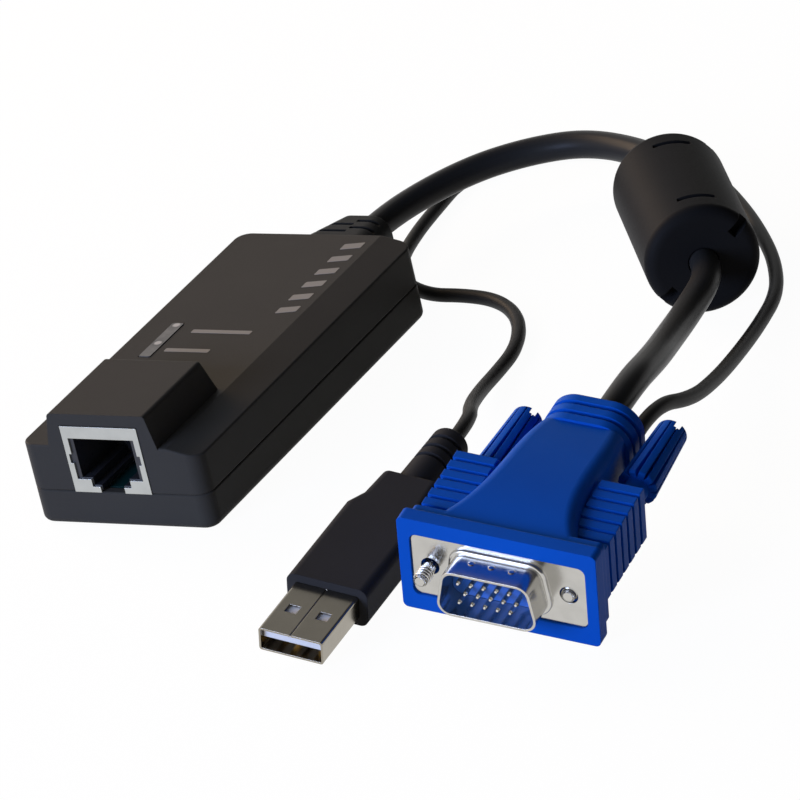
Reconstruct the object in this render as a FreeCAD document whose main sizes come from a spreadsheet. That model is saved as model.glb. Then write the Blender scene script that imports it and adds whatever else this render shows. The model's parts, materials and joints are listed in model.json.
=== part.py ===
import FreeCAD, Part
import math
import os
import re
import Sketcher
from FreeCAD import Placement, Rotation, Vector

# A network dongle: a moulded housing with a network socket, a video cable with a ferrite and a 15-pin
# video plug, and a thin cord with a USB plug. Millimetres and degrees. The origin is under the middle of the
# housing, +Z up, the socket towards -Y. Plugs and ferrite are drawn in frames of their own, +Y towards the
# cable, and then laid in place.

doc = FreeCAD.newDocument("network_dongle")
dims = doc.addObject("Spreadsheet::Sheet", "dims")

SIZES = {
    "Housing": {
        "case_width": 37.0, "case_length": 84.5, "corner_radius": 2.8, "base_edge": 1.5, "wall": 1.8,
        "floor_wall": 1.8, "deck_wall": 2.0, "parting_height": 7.0, "parting_groove": 0.25,
        "deck_height": 16.2, "deck_edge": 0.4, "bevel_width": 6.4, "bevel_drop": 1.6,
        "hump_top": 22.6, "hump_top_width": 20.2, "hump_foot_width": 23.2, "hump_top_length": 21.4,
        "hump_foot_length": 23.4, "hump_edge": 0.7,
    },
    "Network socket": {
        "jack_x": -0.9, "jack_width": 16.0, "jack_height": 13.2, "jack_depth": 16.0, "jack_sheet": 0.4,
        "jack_proud": 0.15, "jack_gap": 0.1, "mouth_width": 13.7, "mouth_height": 8.2, "latch_width": 8.1,
        "latch_height": 1.45, "key_width": 5.0, "key_height": 1.15, "tab_height": 1.8,
        "tab_depth": 0.55, "bay_width": 12.0, "bay_inset": 0.2, "bay_depth": 12.6, "contact_count": 8,
        "contact_pitch": 1.02, "contact_width": 0.45, "contact_thick": 0.3, "contact_start": 1.2,
        "contact_seat": 1.6, "contact_reach": 7.6, "contact_droop": 2.4,
    },
    "Window and board": {
        "window_inset": 7.1, "window_y": -1.6, "window_width": 2.6, "window_length": 13.4, "window_gap": 0.1,
        "window_proud": 0.15, "window_ledge": 0.9, "ledge_thick": 0.8, "lamp_pitch": 8.0, "lamp_width": 1.6,
        "lamp_length": 2.0, "lamp_height": 0.9, "lamp_gap": 0.3, "board_thick": 1.6, "board_gap": 0.4,
        "board_end_gap": 1.2, "rest_width": 3.0, "rest_x": 13.6, "rest_y": 22.0,
        "video_chip_side": 12.0, "video_chip_thick": 1.4, "video_chip_x": 3.0, "video_chip_y": -4.0,
        "control_chip_length": 9.0, "control_chip_width": 6.0, "control_chip_thick": 1.6,
        "control_chip_x": 2.0, "control_chip_y": 15.0,
    },
    "Case screws": {
        "boss_x": 13.0, "boss_y": 34.0, "boss_radius": 2.8, "screw_radius": 1.1, "screw_gap": 0.15,
        "screw_head_radius": 2.0, "screw_head_thick": 1.4, "screw_head_gap": 0.2, "screw_sink": 2.2,
        "screw_bite": 5.0,
    },
    "Cable boot": {
        "boot_x": 2.2, "boot_z": 10.6, "boot_left": 10.0, "boot_right": 6.6, "boot_height": 9.4,
        "boot_round": 3.6, "boot_end_left": 6.2, "boot_end_right": 5.4, "boot_end_height": 8.2,
        "boot_length": 10.75, "neck_width": 10.4, "neck_height": 7.0, "neck_gap": 0.1, "collar_width": 13.0,
        "collar_thick": 1.4, "boot_slot": 0.9, "boot_slot_depth": 1.5, "boot_slot_first": 3.2,
        "boot_slot_pitch": 3.1,
    },
    "Cords": {"cable_radius": 2.7, "cord_radius": 1.35},
    "Ferrite": {
        "ferrite_x": 77.2, "ferrite_y": 44.4, "ferrite_z": 10.67, "ferrite_yaw": 35.5, "ferrite_lean": 9.0,
        "ferrite_lift": 1.3, "ferrite_radius": 10.7, "ferrite_length": 37.4, "ferrite_edge": 2.2,
        "ferrite_end": 3.6, "ferrite_bore_gap": 0.15, "core_radius": 8.6, "core_gap": 0.35,
        "window_cut": 1.3, "window_cut_length": 7.0, "window_cut_depth": 1.1, "window_cut_inset": 6.0,
        "notch_width": 1.9, "notch_depth": 2.4, "notch_inner": 7.2, "notch_turn": 43.0,
    },
    "Video plug": {
        "vga_x": 95.6, "vga_y": -75.9, "vga_z": 12.8, "vga_yaw": 3.16, "vga_lean": 11.9, "vga_lift": 7.15,
        "flange_width": 35.8, "flange_height": 18.9, "flange_round": 1.0, "flange_thick": 3.2,
        "flange_lip": 0.4, "plate_width": 31.4, "plate_height": 12.5, "plate_thick": 0.8, "plate_round": 1.4,
        "plate_gap": 0.1, "shoulder_width": 34.4, "shoulder_height": 16.4, "shoulder_thick": 2.4,
        "grip_width": 34.0, "grip_height": 12.8, "grip_under": 2.4, "grip_inner": 9.4, "grip_length": 18.0,
        "rib_count": 7, "rib_thick": 1.85, "rib_depth": 0.5, "neck_mouth_width": 27.0,
        "body_front_width": 21.0,
        "body_front_height": 16.9, "body_mid_width": 17.4, "body_mid_height": 15.6, "body_rear_width": 15.4,
        "body_rear_height": 11.6, "body_round": 2.4, "body_flare": 5.0, "body_end": 36.8, "ring_width": 17.0,
        "ring_height": 12.6, "ring_round": 5.4, "ring_thick": 1.7, "ring_pitch": 2.7, "ring_count": 3,
        "ring_core_width": 14.6, "ring_core_height": 10.6, "collar_end": 45.0, "cable_side": 0.3,
        "cord_side": 6.8,
    },
    "Video plug face": {
        "shroud_depth": 6.0, "shroud_wide": 18.6, "shroud_narrow": 15.4, "shroud_height": 9.2,
        "shroud_round": 2.4, "shroud_wall": 0.45, "bead_out": 0.7, "bead_thick": 0.8, "dimple_pitch": 3.6,
        "dimple_radius": 0.9, "dimple_out": 0.28, "dimple_back": 2.6, "pin_block_gap": 0.05,
        "pin_block_front": 0.4, "pin_block_back": 4.0, "pin_radius": 0.42, "pin_front": 5.4,
        "pin_pitch": 2.29, "pin_row_pitch": 1.98, "screw_spacing": 25.0, "rod_radius": 1.42, "rod_gap": 0.08,
        "plate_hole_gap": 0.25,
    },
    "Thumb screws": {
        "rod_tip": 4.5, "rod_chamfer": 0.4, "thread_length": 4.0, "shank_radius": 1.2, "shank_gap": 0.08,
        "thread_room": 6.0, "left_shift": 0.0, "right_shift": 4.0, "thumb_neck_radius": 2.2,
        "thumb_neck_start": 23.9, "thumb_front": 26.0, "thumb_end": 42.6, "thumb_front_radius": 3.6,
        "thumb_end_radius": 2.75, "thumb_edge": 0.5, "thumb_rib_count": 12, "thumb_groove": 0.7,
        "thumb_groove_depth": 0.35, "thumb_slot": 1.2, "thumb_slot_depth": 1.6, "rod_seat": 12.0,
        "thumb_turn": -57.0,
    },
    "USB plug": {
        "usb_x": 58.7, "usb_y": -86.6, "usb_z": 4.09, "usb_yaw": 1.5, "usb_lean": 13.0, "usb_lift": 4.0,
        "usb_width": 12.0, "usb_height": 4.5, "usb_round": 0.5, "usb_sheet": 0.35, "usb_bare": 14.2,
        "usb_hidden": 6.0, "usb_hole_side": 2.2, "usb_hole_x": 2.9, "usb_hole_y": 6.9, "usb_seam": 0.3,
        "usb_seam_depth": 0.15, "tongue_thick": 1.85, "tongue_gap": 0.12, "tongue_recess": 1.0,
        "contact_recess": 2.0, "usb_contact_width": 1.0, "usb_contact_thick": 0.2, "usb_contact_length": 7.4,
        "usb_contact_inner": 1.0, "usb_contact_outer": 3.5,
        "mould_width": 15.2, "mould_height": 7.5, "mould_round": 1.6, "mould_length": 23.4,
        "step_width": 12.0, "step_length": 3.5, "waist_width": 11.0, "waist_length": 7.4,
        "relief_radius": 3.7, "relief_end_radius": 3.5, "relief_length": 15.9, "relief_edge": 0.8,
        "relief_groove": 1.0,
        "relief_groove_depth": 0.6, "relief_groove_pitch": 2.9, "relief_groove_count": 3,
    },
}


def fill_sheet():
    """One row for each size, its name beside its value, under the heading of its piece."""
    row = 1
    for heading, sizes in SIZES.items():
        dims.set("A%d" % row, heading)
        for name, number in sizes.items():
            row += 1
            dims.set("A%d" % row, name)
            dims.set("B%d" % row, str(number))
            dims.setAlias("B%d" % row, name)
        row += 2
    doc.recompute()


def on_sheet(words):
    """A sum in the sizes' names, with each name pointing at its cell."""
    return re.sub(r"[a-z][a-z_0-9]*", lambda name: "dims." + name.group(), words)


def value(words):
    """The number that a sum in the sizes' names comes to."""
    return float(dims.evalExpression(on_sheet(words)))


def bind(item, sizes):
    """Ties properties to sums in the sizes' names."""
    for name, words in sizes.items():
        item.setExpression(name, on_sheet(words))


# Bodies, sketches and their features

PLANES = {"x": "YZ_Plane", "y": "XZ_Plane", "z": "XY_Plane"}


def new_body(label):
    body = doc.addObject("PartDesign::Body", label)
    body.Label = label
    return body


def origin_part(body, role):
    return next(part for part in body.Origin.OriginFeatures if part.Role == role)


def new_sketch(body, axis, at):
    """A sketch square to an axis: across y its sides are x and z, across x they are y and z."""
    sketch = body.newObject("Sketcher::SketchObject", "sketch_" + axis)
    sketch.AttachmentSupport = (origin_part(body, PLANES[axis]), [""])
    sketch.MapMode = "FlatFace"
    bind(sketch, {"AttachmentOffset.Base.z": "-(%s)" % at if axis == "y" else at})
    return sketch


def fix_point(sketch, line, point, across, upward):
    """Holds a point at its distances from the sketch's origin."""
    for kind, words in (("DistanceX", across), ("DistanceY", upward)):
        if words is not None:
            number = sketch.addConstraint(Sketcher.Constraint(kind, -1, 1, line, point, value(words)))
            bind(sketch, {"Constraints[%d]" % number: words})


def outline(sketch, corners):
    """A closed outline with straight sides."""
    spots = [Vector(value(across), value(upward), 0) for across, upward in corners]
    first = sketch.GeometryCount
    count = len(spots)
    for i, spot in enumerate(spots):
        sketch.addGeometry(Part.LineSegment(spot, spots[(i + 1) % count]))
    for i, (across, upward) in enumerate(corners):
        sketch.addConstraint(Sketcher.Constraint("Coincident", first + i, 2, first + (i + 1) % count, 1))
        fix_point(sketch, first + i, 1, across, upward)
    return sketch


def rectangle(sketch, left, right, low, high):
    return outline(sketch, [(left, low), (right, low), (right, high), (left, high)])


def rounded(sketch, left, right, low, high, radius):
    """A rectangle with round corners."""
    x0, x1, y0, y1, r = [value(words) for words in (left, right, low, high, radius)]
    first = sketch.GeometryCount
    lines = [((x0 + r, y0), (x1 - r, y0)), ((x1, y0 + r), (x1, y1 - r)),
             ((x1 - r, y1), (x0 + r, y1)), ((x0, y1 - r), (x0, y0 + r))]
    centres = [(x1 - r, y0 + r), (x1 - r, y1 - r), (x0 + r, y1 - r), (x0 + r, y0 + r)]
    for i in range(4):
        start, end = lines[i]
        sketch.addGeometry(Part.LineSegment(Vector(*start, 0), Vector(*end, 0)))
        ring = Part.Circle(Vector(*centres[i], 0), Vector(0, 0, 1), r)
        sketch.addGeometry(Part.ArcOfCircle(ring, (i - 1) * math.pi / 2, i * math.pi / 2))
    for i in range(4):
        line, arc = first + 2 * i, first + 2 * i + 1
        sketch.addConstraint(Sketcher.Constraint("Tangent", line, 2, arc, 1))
        sketch.addConstraint(Sketcher.Constraint("Tangent", arc, 2, first + (2 * i + 2) % 8, 1))
        sketch.addConstraint(Sketcher.Constraint("Vertical" if i % 2 else "Horizontal", line))
        if i:
            sketch.addConstraint(Sketcher.Constraint("Equal", first + 1, arc))
    number = sketch.addConstraint(Sketcher.Constraint("Radius", first + 1, r))
    bind(sketch, {"Constraints[%d]" % number: radius})
    fix_point(sketch, first, 1, None, low)
    fix_point(sketch, first + 2, 1, right, None)
    fix_point(sketch, first + 4, 1, None, high)
    fix_point(sketch, first + 6, 1, left, None)
    return sketch


def rounded_outline(sketch, corners, radius):
    """A closed outline with round corners, held by guide lines along the sharp one, drawn anticlockwise."""
    guide = sketch.GeometryCount
    outline(sketch, corners)
    spots = [Vector(value(across), value(upward), 0) for across, upward in corners]
    count = len(spots)
    r = value(radius)
    enters, leaves, centres = [], [], []
    for i, spot in enumerate(spots):
        back = (spots[i - 1] - spot).normalize()
        ahead = (spots[(i + 1) % count] - spot).normalize()
        half = back.getAngle(ahead) / 2
        enters.append(spot + back * (r / math.tan(half)))
        leaves.append(spot + ahead * (r / math.tan(half)))
        centres.append(spot + (back + ahead).normalize() * (r / math.sin(half)))
    first = sketch.GeometryCount
    for i in range(count):
        sketch.setConstruction(guide + i, True)
        after = (i + 1) % count
        sketch.addGeometry(Part.LineSegment(leaves[i], enters[after]))
        ends = [math.atan2(*reversed((spot - centres[after])[:2])) for spot in (enters[after], leaves[after])]
        if ends[1] < ends[0]:
            ends[1] += 2 * math.pi
        sketch.addGeometry(Part.ArcOfCircle(Part.Circle(centres[after], Vector(0, 0, 1), r), *ends))
    for i in range(count):
        line, arc = first + 2 * i, first + 2 * i + 1
        for point in (1, 2):
            sketch.addConstraint(Sketcher.Constraint("PointOnObject", line, point, guide + i))
        sketch.addConstraint(Sketcher.Constraint("Tangent", line, 2, arc, 1))
        sketch.addConstraint(Sketcher.Constraint("Tangent", arc, 2, first + (2 * i + 2) % (2 * count), 1))
        if i:
            sketch.addConstraint(Sketcher.Constraint("Equal", first + 1, arc))
    number = sketch.addConstraint(Sketcher.Constraint("Radius", first + 1, r))
    bind(sketch, {"Constraints[%d]" % number: radius})
    return sketch


def circle(sketch, across, upward, radius):
    ring = Part.Circle(Vector(value(across), value(upward), 0), Vector(0, 0, 1), value(radius))
    line = sketch.addGeometry(ring)
    number = sketch.addConstraint(Sketcher.Constraint("Radius", line, value(radius)))
    bind(sketch, {"Constraints[%d]" % number: radius})
    fix_point(sketch, line, 3, across, upward)
    return sketch


def side_of(sketch):
    """Which way the sketch faces along its axis: a sketch across y faces -y."""
    return -1 if sketch.Name.startswith("sketch_y") else 1


def pad(body, sketch, length, way=1):
    feature = body.newObject("PartDesign::Pad", "pad")
    feature.Profile = sketch
    feature.Reversed = way * side_of(sketch) < 0
    bind(feature, {"Length": length})
    doc.recompute()
    return feature


def pocket(body, sketch, depth, way):
    before = body.Shape.Volume
    feature = body.newObject("PartDesign::Pocket", "pocket")
    feature.Profile = sketch
    feature.Reversed = way * side_of(sketch) > 0
    bind(feature, {"Length": depth})
    doc.recompute()
    if not body.Shape.Volume < before:
        raise ValueError("a pocket in %s cuts nothing" % body.Label)
    return feature


def loft(body, sketches):
    feature = body.newObject("PartDesign::AdditiveLoft", "loft")
    feature.Profile = sketches[0]
    feature.Sections = sketches[1:]
    doc.recompute()
    return feature


def revolve(body, sketch):
    """A turned solid about the body's y axis."""
    feature = body.newObject("PartDesign::Revolution", "turned")
    feature.Profile = sketch
    feature.ReferenceAxis = (sketch, ["V_Axis"])
    doc.recompute()
    return feature


def row_of(body, feature, axis, span, count):
    pattern = body.newObject("PartDesign::LinearPattern", "row")
    pattern.Originals = [feature]
    pattern.Direction = (origin_part(body, axis + "_Axis"), [""])
    bind(pattern, {"Length": span, "Occurrences": count})
    body.Tip = pattern
    doc.recompute()
    return pattern


def ring_of(body, feature, axis, count):
    pattern = body.newObject("PartDesign::PolarPattern", "ring")
    pattern.Originals = [feature]
    pattern.Axis = (origin_part(body, axis + "_Axis"), [""])
    bind(pattern, {"Occurrences": count})
    body.Tip = pattern
    doc.recompute()
    return pattern


def mirror(body, features, plane):
    pattern = body.newObject("PartDesign::Mirrored", "mirrored")
    pattern.Originals = features
    pattern.MirrorPlane = (origin_part(body, plane), [""])
    body.Tip = pattern
    doc.recompute()
    return pattern


def edges_of(base, test):
    """A feature's edges whose bounding boxes pass the test."""
    return base, ["Edge%d" % (i + 1) for i, edge in enumerate(base.Shape.Edges) if test(edge.BoundBox)]


def fillet(body, radius, test):
    edges = edges_of(body.Tip, test)
    feature = body.newObject("PartDesign::Fillet", "fillet")
    feature.Base = edges
    bind(feature, {"Radius": radius})
    doc.recompute()
    return feature


def chamfer(body, size, test):
    edges = edges_of(body.Tip, test)
    feature = body.newObject("PartDesign::Chamfer", "chamfer")
    feature.Base = edges
    bind(feature, {"Size": size})
    doc.recompute()
    return feature


def near(a, b):
    return abs(a - b) < 0.01


# Plain primitives

def block(label, left, right, front, back, low, high):
    box = doc.addObject("Part::Box", label)
    bind(box, {"Length": "(%s) - (%s)" % (right, left), "Width": "(%s) - (%s)" % (back, front),
               "Height": "(%s) - (%s)" % (high, low), "Placement.Base.x": left, "Placement.Base.y": front,
               "Placement.Base.z": low})
    return box


def bar(label, radius, across, upward, front, back):
    """A round bar along y."""
    rod = doc.addObject("Part::Cylinder", label)
    rod.Placement = Placement(Vector(), Rotation(Vector(1, 0, 0), -90))
    bind(rod, {"Radius": radius, "Height": "(%s) - (%s)" % (back, front), "Placement.Base.x": across,
               "Placement.Base.y": front, "Placement.Base.z": upward})
    return rod


def cut(label, base, tools):
    """A base with every tool taken out of it."""
    joined = doc.addObject("Part::Compound", label + "_tools")
    joined.Links = tools
    result = doc.addObject("Part::Cut", label)
    result.Base = base
    result.Tool = joined
    return result


def solids(label, shapes):
    """Separate solids that share one node."""
    group = doc.addObject("Part::Feature", label)
    group.Shape = Part.makeCompound(shapes)
    return group


# Housing

FRONT = "-case_length / 2"
REAR = "case_length / 2"
BOARD_LOW = "parting_height - board_thick"
WINDOW_X = "(window_inset - case_width / 2)"


def case_outline(body, height):
    return rounded(new_sketch(body, "z", height), "-case_width / 2", "case_width / 2", FRONT, REAR,
                   "corner_radius")


def case_hollow(body, height):
    return rectangle(new_sketch(body, "z", height), "wall - case_width / 2", "case_width / 2 - wall",
                     "wall - case_length / 2", "case_length / 2 - wall")


def make_bottom_shell():
    body = new_body("bottom_shell")
    pad(body, case_outline(body, "0"), "parting_height")
    fillet(body, "base_edge", lambda box: near(box.ZMax, 0))
    chamfer(body, "parting_groove", lambda box: near(box.ZMin, value("parting_height")))
    pocket(body, case_hollow(body, "parting_height"), "parting_height - floor_wall", -1)
    posts = new_sketch(body, "z", "floor_wall")
    for side in ("", "-"):
        circle(posts, side + "boss_x", "boss_y", "boss_radius")
    pad(body, posts, "parting_height - floor_wall")
    rests = new_sketch(body, "z", "floor_wall")
    for across in ("rest_x", "-rest_x"):
        for along in ("rest_y - rest_width", "-rest_y"):
            rectangle(rests, across + " - rest_width / 2", across + " + rest_width / 2",
                      along + " - rest_width / 2", along + " + rest_width / 2")
    pad(body, rests, BOARD_LOW + " - floor_wall")
    for radius, depth in (("screw_radius + screw_gap", "parting_height"),
                          ("screw_head_radius + screw_head_gap", "screw_sink")):
        holes = new_sketch(body, "z", "0")
        for side in ("", "-"):
            circle(holes, side + "boss_x", "boss_y", radius)
        pocket(body, holes, depth, 1)
    return body


def make_top_cover():
    body = new_body("top_cover")
    pad(body, case_outline(body, "parting_height"), "deck_height - parting_height")
    chamfer(body, "parting_groove", lambda box: near(box.ZMax, value("parting_height")))
    bevel = outline(new_sketch(body, "y", FRONT), [
        ("case_width / 2 - bevel_width", "deck_height"),
        ("case_width / 2", "deck_height - bevel_drop"),
        ("case_width / 2", "deck_height")])
    pocket(body, bevel, "case_length", 1)
    deck = value("deck_height")
    drop = value("bevel_drop")
    half = value("case_length / 2")
    fillet(body, "deck_edge", lambda box: box.ZMin > deck - drop - 0.01 and box.YLength < half
           and box.YMin > value(FRONT) + 0.01)
    foot = rectangle(new_sketch(body, "z", "deck_height - deck_wall / 2"), "jack_x - hump_foot_width / 2",
                     "jack_x + hump_foot_width / 2", FRONT, FRONT + " + hump_foot_length")
    top = rectangle(new_sketch(body, "z", "hump_top"), "jack_x - hump_top_width / 2",
                    "jack_x + hump_top_width / 2", FRONT, FRONT + " + hump_top_length")
    loft(body, [foot, top])
    front = value(FRONT)
    crown = value("hump_top")
    fillet(body, "hump_edge", lambda box: box.ZMax > crown - 0.01 and box.YMax > front + 0.01)
    pocket(body, case_hollow(body, "parting_height"), "deck_height - deck_wall - parting_height", 1)
    bay = rectangle(new_sketch(body, "y", FRONT), "jack_x - jack_width / 2 - jack_gap",
                    "jack_x + jack_width / 2 + jack_gap", "parting_height",
                    "parting_height + jack_height + jack_gap")
    pocket(body, bay, "jack_depth + jack_gap", 1)
    gate = rectangle(new_sketch(body, "y", REAR), "boot_x - neck_width / 2 - neck_gap",
                     "boot_x + neck_width / 2 + neck_gap", "parting_height",
                     "parting_height + neck_height + neck_gap")
    pocket(body, gate, "wall", -1)
    posts = new_sketch(body, "z", "parting_height")
    for side in ("", "-"):
        circle(posts, side + "boss_x", "boss_y", "boss_radius")
    pad(body, posts, "deck_height - deck_wall / 2 - parting_height")
    holes = new_sketch(body, "z", "parting_height")
    for side in ("", "-"):
        circle(holes, side + "boss_x", "boss_y", "screw_radius")
    pocket(body, holes, "screw_bite", 1)
    slot = rectangle(new_sketch(body, "z", "deck_height"), WINDOW_X + " - window_width / 2",
                     WINDOW_X + " + window_width / 2", "window_y - window_length / 2",
                     "window_y + window_length / 2")
    pocket(body, slot, "deck_wall", -1)
    return body


def make_light_pipe():
    body = new_body("light_pipe")
    ceiling = "deck_height - deck_wall"
    edge = "(window_length / 2 - window_gap)"
    side, end = "(window_width / 2 + window_ledge)", "(window_length / 2 + window_ledge)"
    ledge = rectangle(new_sketch(body, "z", ceiling + " - ledge_thick"), WINDOW_X + " - " + side,
                      WINDOW_X + " + " + side, "window_y - " + end, "window_y + " + end)
    pad(body, ledge, "ledge_thick")
    strip = rounded(new_sketch(body, "z", ceiling), WINDOW_X + " - window_width / 2 + window_gap",
                    WINDOW_X + " + window_width / 2 - window_gap", "window_y - " + edge, "window_y + " + edge,
                    "window_gap * 4")
    pad(body, strip, "deck_wall + window_proud")
    legs = new_sketch(body, "z", ceiling + " - ledge_thick")
    for side in ("-", "+"):
        middle = "window_y %s lamp_pitch / 2" % side
        rectangle(legs, WINDOW_X + " - lamp_width / 2", WINDOW_X + " + lamp_width / 2",
                  middle + " - lamp_length / 2", middle + " + lamp_length / 2")
    pad(body, legs, ceiling + " - ledge_thick - parting_height - lamp_height - lamp_gap", -1)
    return body


def make_status_leds():
    lamps = []
    for side in (-1, 1):
        middle = value("window_y") + side * value("lamp_pitch") / 2
        base = Part.makeBox(value("lamp_width"), value("lamp_length"), value("lamp_height / 2"),
                            Vector(value(WINDOW_X + " - lamp_width / 2"), middle - value("lamp_length / 2"),
                                   value("parting_height")))
        lens = Part.makeCylinder(value("lamp_width / 3"), value("lamp_height / 2"),
                                 Vector(value(WINDOW_X), middle, value("parting_height + lamp_height / 2")))
        lamps.append(base.fuse(lens))
    return solids("status_leds", lamps)


def make_circuit_board():
    body = new_body("circuit_board")
    panel = rectangle(new_sketch(body, "z", BOARD_LOW), "wall + board_gap - case_width / 2",
                      "case_width / 2 - wall - board_gap", FRONT + " + wall + board_gap",
                      "boss_y - boss_radius - board_end_gap")
    pad(body, panel, "board_thick")
    return body


def make_chips():
    top = "parting_height"
    video = block("video_chip", "video_chip_x - video_chip_side / 2", "video_chip_x + video_chip_side / 2",
                  "video_chip_y - video_chip_side / 2", "video_chip_y + video_chip_side / 2", top,
                  top + " + video_chip_thick")
    control = block("control_chip", "control_chip_x - control_chip_length / 2",
                    "control_chip_x + control_chip_length / 2", "control_chip_y - control_chip_width / 2",
                    "control_chip_y + control_chip_width / 2", top, top + " + control_chip_thick")
    return [video, control]


# Network socket

KEY_LOW = "parting_height"
LATCH_LOW = "parting_height + key_height"
MOUTH_LOW = "parting_height + key_height + latch_height"
MOUTH_HIGH = MOUTH_LOW + " + mouth_height"


def socket_cutters(label, inset, front, back, main_width):
    """The stepped opening of the socket: the plug's body above, its latch in two steps below."""
    steps = [(main_width, MOUTH_LOW, MOUTH_HIGH), ("latch_width", LATCH_LOW, MOUTH_LOW),
             ("key_width", KEY_LOW, LATCH_LOW)]
    cutters = []
    for i, (width, low, high) in enumerate(steps):
        high_inset = inset if i == 0 else "-(%s)" % inset
        cutters.append(block("%s_%d" % (label, i), "jack_x - (%s) / 2 + %s" % (width, inset),
                             "jack_x + (%s) / 2 - %s" % (width, inset), front, back,
                             "%s + %s" % (low, inset), "%s - (%s)" % (high, high_inset)))
    return cutters


def make_jack():
    face = FRONT + " - jack_proud"
    inside = face + " + jack_sheet"
    left, right = "jack_x - jack_width / 2", "jack_x + jack_width / 2"
    high = "parting_height + jack_height"
    back = FRONT + " + jack_depth"
    can = block("jack_can", left, right, face, back, "parting_height", high)
    inner = block("jack_inner", left + " + jack_sheet", right + " - jack_sheet", inside,
                  back + " - jack_sheet", "parting_height + jack_sheet", high + " - jack_sheet")
    middle = MOUTH_LOW + " + mouth_height / 2"
    tabs = block("jack_tabs", "jack_x - mouth_width / 2 - tab_depth", "jack_x + mouth_width / 2 + tab_depth",
                 face, inside, middle + " - tab_height / 2", middle + " + tab_height / 2")
    mouth = socket_cutters("jack_mouth", "0", face, inside, "mouth_width")
    floor = block("jack_floor_slot", "jack_x - key_width / 2", "jack_x + key_width / 2", face,
                  inside + " + bay_depth", "parting_height", "parting_height + jack_sheet")
    shield = cut("jack_shield", can, [inner, tabs, floor] + mouth)

    core = block("jack_core", left + " + jack_sheet", right + " - jack_sheet", inside,
                 back + " - jack_sheet", "parting_height + jack_sheet", high + " - jack_sheet")
    insert = cut("jack_insert", core, socket_cutters("jack_bay", "bay_inset", inside,
                                                     inside + " + bay_depth", "bay_width + 2 * bay_inset"))
    ceiling = value(MOUTH_HIGH + " - bay_inset")
    start = value(inside + " + contact_start")
    seat_end = start + value("contact_seat")
    tip = start + value("contact_reach")
    thick, droop = value("contact_thick"), value("contact_droop")
    profile = [Vector(0, start, ceiling), Vector(0, seat_end, ceiling),
               Vector(0, tip, ceiling - droop + thick), Vector(0, tip, ceiling - droop),
               Vector(0, seat_end, ceiling - thick), Vector(0, start, ceiling - thick)]
    strip = Part.Face(Part.makePolygon(profile + profile[:1])).extrude(Vector(value("contact_width"), 0, 0))
    count = int(value("contact_count"))
    springs = []
    for i in range(count):
        across = value("jack_x - contact_width / 2") + (i - (count - 1) / 2) * value("contact_pitch")
        springs.append(strip.translated(Vector(across, 0, 0)))
    return [shield, insert, solids("jack_contacts", springs)]


# Cable boot and case screws

def make_cable_boot():
    body = new_body("cable_boot")
    left, right = "boot_x - neck_width / 2", "boot_x + neck_width / 2"
    neck = rectangle(new_sketch(body, "y", REAR), left, right, "parting_height",
                     "parting_height + neck_height")
    pad(body, neck, "wall + collar_thick", -1)
    inner = rectangle(new_sketch(body, "y", REAR + " - wall"), "boot_x - collar_width / 2",
                      "boot_x + collar_width / 2", "parting_height", "parting_height + neck_height")
    pad(body, inner, "collar_thick", -1)
    sections = []
    for along, end in ((REAR, "boot"), (REAR + " + boot_length", "boot_end")):
        sections.append(rounded(new_sketch(body, "y", along), "boot_x - %s_left" % end,
                                "boot_x + %s_right" % end, "boot_z - %s_height / 2" % end,
                                "boot_z + %s_height / 2" % end, "boot_round"))
    loft(body, sections)
    for low, high, first in (("boot_x - boot_left", "boot_x", "boot_slot_first"),
                             ("boot_x", "boot_x + boot_right", "boot_slot_first + boot_slot_pitch / 2")):
        slot = new_sketch(body, "z", "boot_z + boot_height / 2")
        rectangle(slot, low, high, REAR + " + " + first, REAR + " + %s + boot_slot" % first)
        groove = pocket(body, slot, "boot_slot_depth", -1)
        row_of(body, groove, "Y", "boot_slot_pitch", "2")
    return body


def make_case_screws():
    screws = []
    for side in (1, -1):
        spot = Vector(side * value("boss_x"), value("boss_y"), value("screw_sink - screw_head_thick"))
        head = Part.makeCylinder(value("screw_head_radius"), value("screw_head_thick"), spot)
        drive = Part.makeBox(value("screw_head_radius * 1.4"), value("screw_head_thick / 3"),
                             value("screw_head_thick / 2"),
                             spot - Vector(value("screw_head_radius * 0.7"),
                                           value("screw_head_thick / 6"), 0))
        cross = drive.copy()
        cross.rotate(spot, Vector(0, 0, 1), 90)
        shank = Part.makeCylinder(value("screw_radius"), value("parting_height - screw_sink + screw_bite"),
                                  spot + Vector(0, 0, value("screw_head_thick")))
        screws.append(head.cut(drive).cut(cross).fuse(shank))
    return solids("case_screws", screws)


# Plug frames

def laid(plug):
    """Where a plug or the ferrite lies: turned, leaning to its right and lifted at its cable end."""
    spot = Vector(*[value("%s_%s" % (plug, axis)) for axis in "xyz"])
    return Placement(spot, Rotation(*[value("%s_%s" % (plug, turn)) for turn in ("yaw", "lean", "lift")]))


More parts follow.
